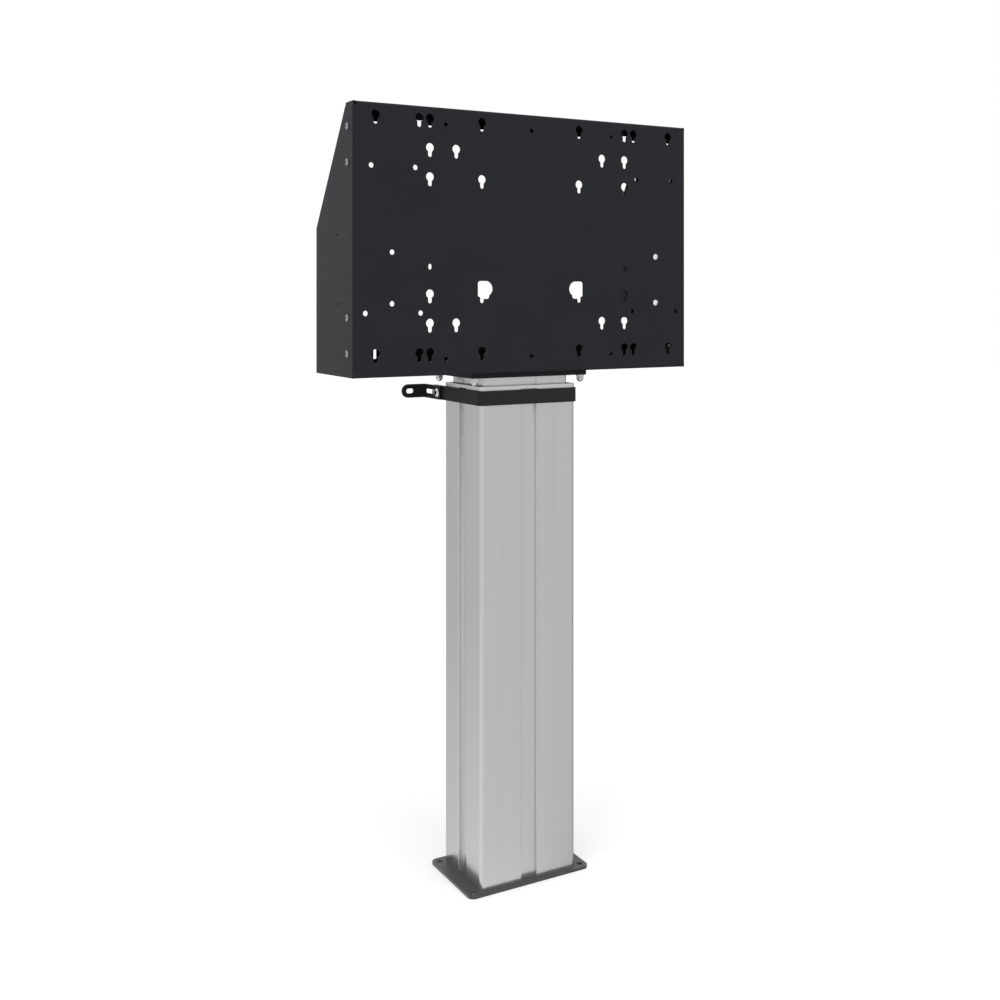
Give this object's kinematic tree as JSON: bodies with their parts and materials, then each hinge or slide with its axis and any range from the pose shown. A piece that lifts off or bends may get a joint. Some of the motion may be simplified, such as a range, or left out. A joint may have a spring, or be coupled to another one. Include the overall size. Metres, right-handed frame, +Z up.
{
  "type": "motorised tv lift column",
  "caption": "Floor-standing motorised display lift: folded steel mounting frame with keyholes on a telescoping aluminium column, with a base plate and adjustable wall arms.",
  "frame": {"origin": "centre of the base plate's underside", "axes": "+Z up along the column, +X to the right seen from the front, +Y towards the wall behind"},
  "size_m": [0.6862, 0.2368, 1.3753],
  "materials": {
    "base_steel": "fine black powder coat",
    "column_aluminium": "natural anodised, satin",
    "collar_aluminium": "natural anodised, satin",
    "glide_plastic": "smooth grey plastic",
    "black_steel": "fine black powder coat",
    "frame_steel": "fine anthracite powder coat",
    "zinc": "bright zinc plate",
    "black_plastic": "moulded, fine texture",
    "grommet_rubber": "smooth",
    "tube_steel": "turned",
    "nut_bronze": "turned",
    "drive_housing": "cast, painted",
    "stop_plastic": "turned"
  },
  "bodies": {
    "root": {"base_plate": "base_steel", "base_screws": "black_steel", "outer_column": "column_aluminium", "column_collar": "collar_aluminium", "front_glide": "glide_plastic", "rear_glide": "glide_plastic", "clamp_band": "black_steel", "clamp_bar": "black_steel", "arm_guides": "zinc", "arm_screws": "zinc", "arm_nuts": "zinc", "push_tube": "tube_steel", "tube_screws": "zinc", "drive_nut": "nut_bronze", "nut_pins": "zinc"},
    "lift": {"inner_column": "column_aluminium", "lower_glides": "glide_plastic", "head_plate": "black_steel", "column_screws": "zinc", "head_bolts": "zinc", "head_washers": "zinc", "head_cap_nuts": "zinc", "display_frame": "frame_steel", "rear_brace": "black_steel", "brace_rivets": "black_steel", "side_screws": "zinc", "side_spacers": "black_steel", "control_bracket": "frame_steel", "bracket_screws": "zinc", "bracket_nuts": "zinc", "control_box": "black_plastic", "control_box_lid": "black_plastic", "control_box_screws": "zinc", "mains_inlet": "black_plastic", "control_sockets": "black_plastic", "cable_grommet": "grommet_rubber", "standoffs": "zinc", "standoff_screws": "zinc", "standoff_nuts": "zinc", "bearing_plate": "tube_steel", "thrust_bearing": "tube_steel", "gearbox": "drive_housing", "motor": "drive_housing", "motor_cap": "black_plastic"},
    "spindle": {"spindle": "tube_steel", "spindle_stop": "stop_plastic"},
    "left_arm": {"left_wall_arm": "black_steel"},
    "right_arm": {"right_wall_arm": "black_steel"}
  },
  "joints": [
    {"name": "lift_slide", "type": "slide", "parent": "root", "child": "lift", "axis": [0, 0, 1], "range_m": [0, 0.5]},
    {"name": "spindle_spin", "type": "hinge", "parent": "lift", "child": "spindle", "pos_m": [0, 0, 0.4], "axis": [0, 0, 1], "range_deg": [-1, 9001]},
    {"name": "left_arm_slide", "type": "slide", "parent": "root", "child": "left_arm", "axis": [0, 1, 0], "range_m": [-0.033, 0]},
    {"name": "right_arm_slide", "type": "slide", "parent": "root", "child": "right_arm", "axis": [0, 1, 0], "range_m": [-0.033, 0]}
  ],
  "couplings": [
    {"joint": "spindle_spin", "follows": "lift_slide", "rad_per_m": 314.16}
  ]
}
